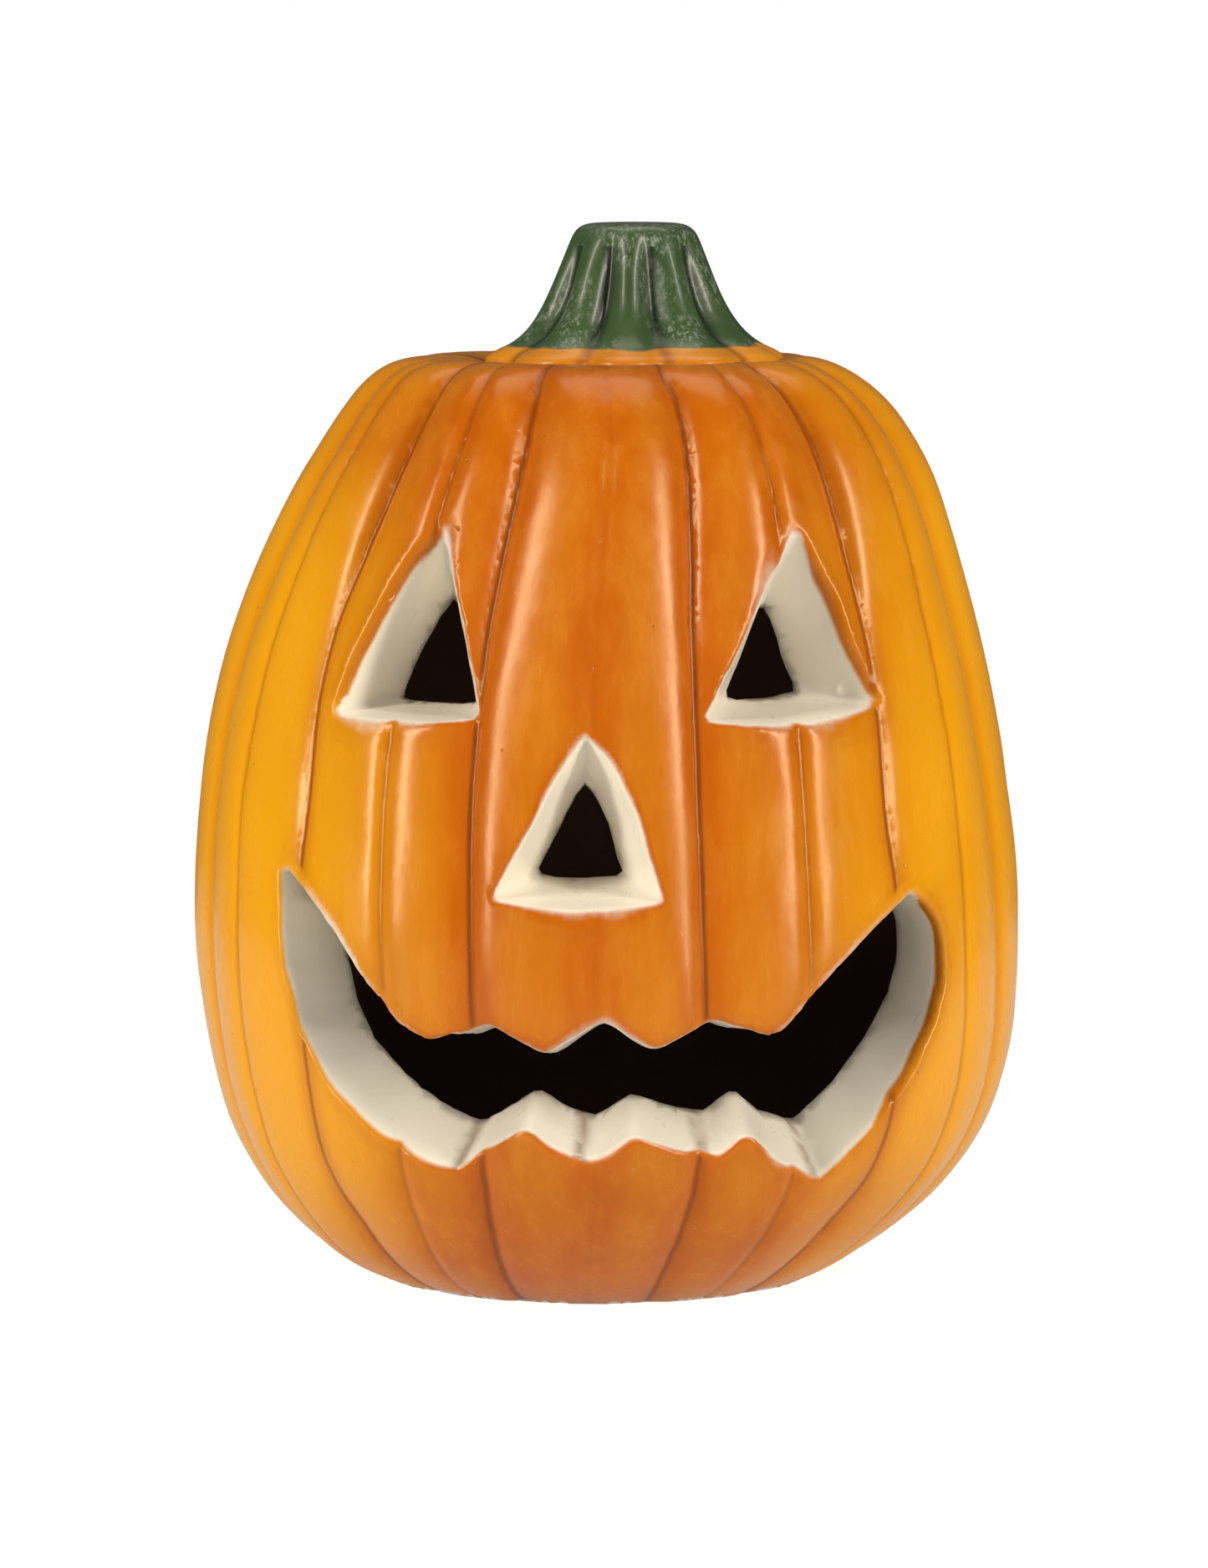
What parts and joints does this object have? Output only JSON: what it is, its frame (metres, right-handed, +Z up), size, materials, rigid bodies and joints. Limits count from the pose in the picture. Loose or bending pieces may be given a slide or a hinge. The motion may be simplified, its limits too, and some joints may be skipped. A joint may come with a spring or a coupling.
{
  "type": "ceramic jack-o'-lantern",
  "caption": "Tall ribbed hollow ceramic pumpkin with a carved face, a luted-on stem and a plug-in battery light in its base.",
  "frame": {"origin": "on the table under the middle of the lantern", "axes": "+Z up, the face looks along -Y, +X on the right of someone facing it"},
  "size_m": [0.198, 0.1976, 0.25],
  "materials": {
    "pumpkin_glaze": "satin orange glaze, airbrushed, cream on the cut edges, dark inside",
    "stem_glaze": "glossy dark green glaze with pale dry-brushed mottling",
    "black_plastic": "fine spark-eroded texture",
    "knob_plastic": "smooth",
    "chip_plastic": "matt",
    "silicone": "matt translucent silicone",
    "diffuser_plastic": "frosted warm white",
    "circuit_board": "green solder mask",
    "led_epoxy": "clear warm epoxy",
    "screw_steel": "zinc plated",
    "battery_jacket": "plain printed sleeve, no lettering",
    "contact_metal": "nickel plated spring steel"
  },
  "bodies": {
    "lantern": {"pumpkin_shell": "pumpkin_glaze", "stem": "stem_glaze"},
    "light_unit": {"light_base": "black_plastic", "light_cover": "black_plastic", "retaining_ring": "silicone", "diffuser": "diffuser_plastic", "circuit_board": "circuit_board", "led": "led_epoxy", "flicker_chip": "chip_plastic", "resistor": "chip_plastic", "switch_body": "black_plastic", "housing_screws": "screw_steel", "hinge_pin": "screw_steel", "battery_1": "battery_jacket", "battery_2": "battery_jacket", "battery_3": "battery_jacket", "contact_plates": "contact_metal", "contact_springs": "contact_metal"},
    "battery_door": {"battery_door": "black_plastic"},
    "switch_knob": {"switch_knob": "knob_plastic"}
  },
  "joints": [
    {"name": "light_unit_pull", "type": "slide", "parent": "lantern", "child": "light_unit", "axis": [0, 0, -1], "range_m": [0, 0.04]},
    {"name": "battery_door_hinge", "type": "hinge", "parent": "light_unit", "child": "battery_door", "pos_m": [0, -0.028, 0.0038], "axis": [-1, 0, 0], "range_deg": [0, 100]},
    {"name": "switch_slide", "type": "slide", "parent": "light_unit", "child": "switch_knob", "axis": [0, 1, 0], "range_m": [-0.0015, 0.0015]}
  ]
}
